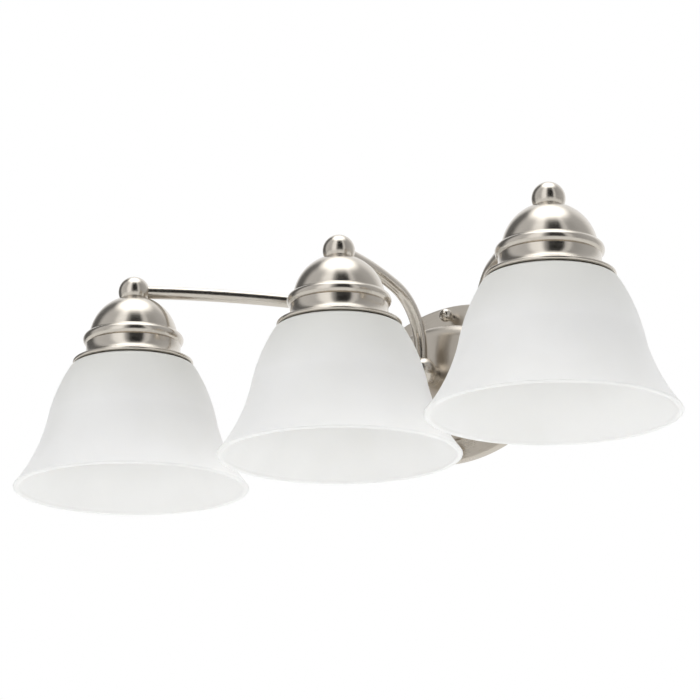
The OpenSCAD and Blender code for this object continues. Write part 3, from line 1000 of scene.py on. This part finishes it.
@dataclass
class WallPlate:
    """Pressed oval plate: low rim, flat flange, small step and a raised pan with a rolled edge."""

    end_centre: float = 42 * MM
    end_radius: float = 43 * MM
    top_centre: float = 56 * MM
    top_radius: float = 113 * MM
    lip: float = 6 * MM
    sheet: float = 1.2 * MM
    flange: float = 15.5 * MM
    pan: float = 26 * MM

    def section(self) -> Outline:
        """Returns the sheet's closed section, as distance in from the rim and height off the wall."""
        w, h, t = self.flange, self.lip, self.sheet
        crown = w + 13.2 * MM
        outer = [(0, 0)] + arc((1.5 * MM, h - 1.5 * MM), 1.5 * MM, 180, 90, 8)
        step = [(w, h), (w + 0.5 * MM, h + 1.2 * MM)]
        step += [(w + 2.2 * MM, h + 1.2 * MM), (w + 2.9 * MM, h + 1.8 * MM)]
        outer = soften(outer + step, 0.45 * MM)[:-1]
        outer += arc((crown, h + self.pan - 9 * MM), 9 * MM, 170, 90, 26)
        inner = [(t, 0)] + arc((1.5 * MM, h - 1.5 * MM), 1.5 * MM - t, 180, 90, 4)
        inner += [(w + 0.4 * MM, h - t), (w + MM, h + 1.2 * MM - t), (w + 3.4 * MM, h + 1.2 * MM - t)]
        inner += [(w + 4.1 * MM, h + 1.8 * MM)] + arc((crown, h + self.pan - 9 * MM), 9 * MM - t, 170, 90, 18)
        return outer + inner[::-1]

    def plan(self) -> list[tuple[float, float, float, float, float]]:
        """Returns the oval's stations: centre x and z, direction x and z, and radius at the rim."""
        lean = math.degrees(math.atan2(self.top_centre, self.end_centre))
        spans = [
            (self.end_centre, 0.0, self.end_radius, -lean, lean),
            (0.0, -self.top_centre, self.top_radius, lean, 180 - lean),
            (-self.end_centre, 0.0, self.end_radius, 180 - lean, 180 + lean),
            (0.0, self.top_centre, self.top_radius, 180 + lean, 360 - lean),
        ]
        stations = []
        for x, z, radius, start, end in spans:
            steps = 56
            for i in range(steps):
                turn = math.radians(start + (end - start) * i / steps)
                stations.append((x, z, math.cos(turn), math.sin(turn), radius))
        return stations

    def build(self) -> None:
        """Builds the plate."""
        section, plan = self.section(), self.plan()
        low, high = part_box("back_plate")
        centre = Vector(((low.x + high.x) / 2, high.y, (low.z + high.z) / 2))
        points, grain, lay, faces = [], [], [], []
        along = [0.0]
        for a, b in zip(section, section[1:]):
            along.append(along[-1] + math.hypot(b[0] - a[0], b[1] - a[1]))
        count, stations = len(section), len(plan)
        crown = max(range(count), key=lambda j: (section[j][1], section[j][0]))
        for x, z, dx, dz, radius in plan:
            for (inwards, out), across in zip(section, along):
                reach = radius - inwards
                points.append(centre + Vector((x + reach * dx, -out, z + reach * dz)))
                grain.append((x + reach * dx, 0.0, across))
                lay.append((-dz, 0.0, dx))
        for i in range(stations):
            after = (i + 1) % stations
            for j in range(count):
                k = (j + 1) % count
                if j == crown:
                    continue
                faces.append((i * count + j, after * count + j, after * count + k, i * count + k))
        faces.append(tuple(i * count + crown for i in range(stations)))
        faces.append(tuple(i * count + crown + 1 for i in range(stations)))
        mesh = build_mesh("wall_plate", points, faces, grain, lay, 40)
        place_piece("pressed_wall_plate", mesh, FIXTURE, "back_plate")


@dataclass
class SmallParts:
    """Threads and grip ribs of the screws, nipples, sockets, shade rings and wire connectors."""

    threads: Tree
    ribs: Tree
    pipe_pitch: float = 0.94 * MM  # lamp nipple, 27 threads to the inch
    lamp_pitch: float = 3.63 * MM  # screw lamp base, 7 threads to the inch
    screw_pitch: float = 0.79 * MM  # canopy screw, 32 threads to the inch
    pipe_ridge: float = 0.3 * MM
    lamp_ridge: float = 0.5 * MM
    screw_ridge: float = 0.22 * MM
    sunk: float = 0.12 * MM  # of the pipe thread's middle below the shank's face
    margin: float = 0.3 * MM  # plain shank before and after a thread

    def put(self, mesh: Mesh, start: Vector, axis: Axis) -> Mesh:
        """Moves a grown mesh to its place."""
        mesh.transform(Matrix.Translation(start) @ axis.value.to_4x4())
        return mesh

    def thread(
        self, start: Vector, axis: Axis, radius: float, length: float, pitch: float, ridge: float
    ) -> Mesh:
        """Winds a thread.

        Args:
            start: Where its axis starts.
            axis: The direction it runs in.
            radius: From the axis to the middle of the ridge.
            length: Along the axis.
            pitch: From one turn to the next.
            ridge: Radius of the ridge's round section.

        Returns:
            The thread.
        """
        sizes = {"Radius": radius, "Pitch": pitch, "Length": length, "Ridge": ridge}
        return self.put(grow(self.threads, line_mesh([start, start]), sizes), start, axis)

    def grip(
        self, start: Vector, axis: Axis, count: int, radius: float, thickness: float, length: float
    ) -> Mesh:
        """Stands ribs in a ring.

        Args:
            start: Middle of the ring, half-way along the ribs.
            axis: The ribs' direction.
            count: How many.
            radius: From the axis to the middle of a rib.
            thickness: Radius of a rib.
            length: Length of a rib.

        Returns:
            The ribs.
        """
        sizes = {"Count": count, "Radius": radius, "Thickness": thickness, "Length": length}
        return self.put(grow(self.ribs, line_mesh([start, start]), sizes), start, axis)

    def of_light(self, side: Side) -> dict[str, list[Mesh]]:
        """Returns what is added to the CAD nodes of one light.

        Args:
            side: The light.

        Returns:
            The added meshes by CAD node.
        """
        axis = Light(side).axis
        low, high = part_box(side.node("cup_nipple"))
        radius = (high.x - low.x) / 2 - self.sunk
        length = high.z - low.z - 2 * self.margin
        start = axis(low.z + self.margin)
        nipple = self.thread(start, Axis.UP, radius, length, self.pipe_pitch, self.pipe_ridge)
        low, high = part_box(side.node("screw_shell"))
        radius = (high.x - low.x) / 2 - 0.75 * MM
        length = high.z - low.z - 4 * MM
        start = axis(low.z + 1.2 * MM)
        shell = self.thread(start, Axis.UP, radius, length, self.lamp_pitch, self.lamp_ridge)
        low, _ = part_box(side.node("shade_ring"))
        grip = self.grip(axis(low.z + 2.4 * MM), Axis.UP, 12, 23.7 * MM, 0.9 * MM, 4 * MM)
        return {
            side.node("cup_nipple"): [nipple],
            side.node("screw_shell"): [shell],
            side.node("shade_ring"): [grip],
        }

    def of_plate(self) -> dict[str, list[Mesh]]:
        """Returns what is added to the CAD nodes behind the wall plate."""
        low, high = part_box("plate_nipples")
        radius = (high.z - low.z) / 2 - self.sunk
        length = high.y - low.y - 2 * self.margin
        nipples = []
        for side in Side:
            middle = Light(side).plate_ball(0.0)
            start = Vector((middle.x, high.y - self.margin, middle.z))
            nipples.append(self.thread(start, Axis.OUT, radius, length, self.pipe_pitch, self.pipe_ridge))
        added = {"plate_nipples": nipples}
        for end in ("top", "bottom"):
            low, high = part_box(f"canopy_screw_{end}")
            start = Vector((0.0, high.y - self.margin, (low.z + high.z) / 2))
            length = (high.y - low.y) * 0.4
            coil = self.thread(start, Axis.OUT, 1.9 * MM, length, self.screw_pitch, self.screw_ridge)
            added[f"canopy_screw_{end}"] = [coil]
        low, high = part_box("wire_connectors")
        wide = 6.4 * MM
        middles = [Vector((low.x + 4 * MM, (low.y + high.y) / 2, z)) for z in (low.z + wide, high.z - wide)]
        added["wire_connectors"] = [
            self.grip(middle, Axis.ACROSS, 10, 5.7 * MM, 0.55 * MM, 7.6 * MM) for middle in middles
        ]
        return added


# ---------- studio ----------
@dataclass
class Studio:
    """Plain floor, soft panels all round and a long lens below the bar, looking up at it."""

    eye: Vector = Vector((1.149677, -1.716792, -0.553189))
    yaw: float = 35.911
    pitch: float = 15.681
    roll: float = -0.312
    lens: float = 155.43
    floor_drop: float = 5.0
    floor_half: float = 30.0
    ceiling: float = 1.9  # brightness of the light overhead, beside 1 for the brightest panel
    power: float = 1.42

    def place_camera(self) -> None:
        """Places the camera."""
        yaw, pitch, roll = (math.radians(a) for a in (self.yaw, self.pitch, self.roll))
        ahead = Vector((-math.sin(yaw) * math.cos(pitch), math.cos(yaw) * math.cos(pitch), math.sin(pitch)))
        right = Vector((math.cos(yaw), math.sin(yaw), 0))
        up = right.cross(ahead)
        right, up = right * math.cos(roll) + up * math.sin(roll), up * math.cos(roll) - right * math.sin(roll)
        camera = bpy.data.objects.new("camera", bpy.data.cameras.new("camera"))
        camera.data.lens, camera.data.sensor_width = self.lens, 36
        camera.data.clip_start, camera.data.clip_end = 0.05, 60
        turn = Matrix((right, up, -ahead)).transposed().to_4x4()
        camera.matrix_world = Matrix.Translation(self.eye) @ turn
        bpy.context.scene.collection.objects.link(camera)
        bpy.context.scene.camera = camera

    def lay_floor(self) -> None:
        """Lays the floor."""
        half = self.floor_half
        mesh = bpy.data.meshes.new("floor")
        corners = [(-half, -half), (half, -half), (half, half), (-half, half)]
        mesh.from_pydata([(x, y, -self.floor_drop) for x, y in corners], [], [(0, 1, 2, 3)])
        mesh.materials.append(StudioPaper("white_studio_paper", "#FCFCFB", 0.92).material())
        floor = bpy.data.objects.new("studio_floor", mesh)
        bpy.context.scene.collection.objects.link(floor)

    def light_room(self) -> None:
        """Makes the room: soft bright panels with dim gaps between them, and plain white behind the object."""
        world = bpy.data.worlds.new("studio")
        bpy.context.scene.world = world
        world.use_nodes = True
        tree = world.node_tree
        tree.nodes.clear()
        way = add_node(tree, "ShaderNodeTexCoord")
        parts = add_node(tree, "ShaderNodeSeparateXYZ", links={0: way.outputs["Generated"]})
        front = add_node(
            tree, "ShaderNodeMath", operation="MULTIPLY", links={0: parts.outputs["Y"]}, values={1: -1.0}
        )
        turn = add_node(
            tree, "ShaderNodeMath", operation="ARCTAN2", links={0: parts.outputs["X"], 1: front.outputs[0]}
        )
        share = add_node(
            tree,
            "ShaderNodeMapRange",
            links={0: turn.outputs[0]},
            values={"From Min": -math.pi, "From Max": math.pi, "To Min": 0.0, "To Max": 1.0},
        )
        panels = [  # degrees from straight out of the wall, and brightness
            (-180, 0.75), (-128, 0.75), (-104, 0.12), (-80, 0.10),
            (-60, 0.48), (-22, 0.44), (-4, 0.85), (12, 0.92),
            (25, 0.22), (34, 0.01), (62, 0.01), (68, 0.5),
            (76, 0.58), (86, 0.30), (140, 0.40), (180, 0.75),
        ]
        ring = add_ramp(tree, share.outputs[0], [((a + 180) / 360, tone) for a, tone in panels])
        ring.color_ramp.interpolation = "EASE"
        rise = add_node(
            tree,
            "ShaderNodeMapRange",
            interpolation_type="SMOOTHSTEP",
            links={0: parts.outputs["Z"]},
            values={"From Min": 0.84, "From Max": 0.98, "To Min": 0.0, "To Max": 1.0},
        )
        dome = add_node(
            tree,
            "ShaderNodeMix",
            data_type="RGBA",
            links={"Factor": rise.outputs[0], 6: ring.outputs["Color"]},
            values={7: (self.ceiling, self.ceiling, 0.99 * self.ceiling, 1.0)},
        )
        room = add_node(tree, "ShaderNodeBackground", links={0: dome.outputs[2]}, values={1: self.power})
        plain = add_node(tree, "ShaderNodeBackground", values={0: (1.0, 1.0, 1.0, 1.0), 1: 1.0})
        ray = add_node(tree, "ShaderNodeLightPath")
        seen = add_node(
            tree,
            "ShaderNodeMixShader",
            links={0: ray.outputs["Is Camera Ray"], 1: room.outputs[0], 2: plain.outputs[0]},
        )
        add_node(tree, "ShaderNodeOutputWorld", links={0: seen.outputs[0]})
        bpy.context.scene.view_settings.view_transform = "Standard"

    def build(self) -> None:
        """Builds the studio."""
        self.place_camera()
        self.lay_floor()
        self.light_room()


def main() -> None:
    """Builds every sub-assembly in order."""
    Studio().build()
    tubes = tube_tree()
    WallPlate().build()
    ball = Ball()
    for side in Side:
        light = Light(side)
        BellShade(light).build()
        SpunCup(light).build()
        centre = light.top_ball(ball.radius)
        flat = centre.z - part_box(side.node("top_ball"))[0].z
        ball.build(side.node("finial_ball"), centre, flat, Axis.UP, side.node("top_ball"))
        centre = light.plate_ball(ball.radius)
        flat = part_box(side.node("plate_ball"))[1].y - centre.y
        ball.build(side.node("wall_ball"), centre, flat, Axis.OUT, side.node("plate_ball"))
        Arm(light, tubes).build()
    small = SmallParts(thread_tree(), rib_tree())
    added = small.of_plate()
    for side in Side:
        added.update(small.of_light(side))
    bodies = frame["record"]["behaviour"]["bodies"]
    for body, nodes in bodies.items():
        for node in nodes:
            if not frame["nodes"][node].hide_render:
                place_piece(f"made_{node}", merged_copy(node, added.get(node, ())), body, node)


if __name__ == "__main__":
    main()
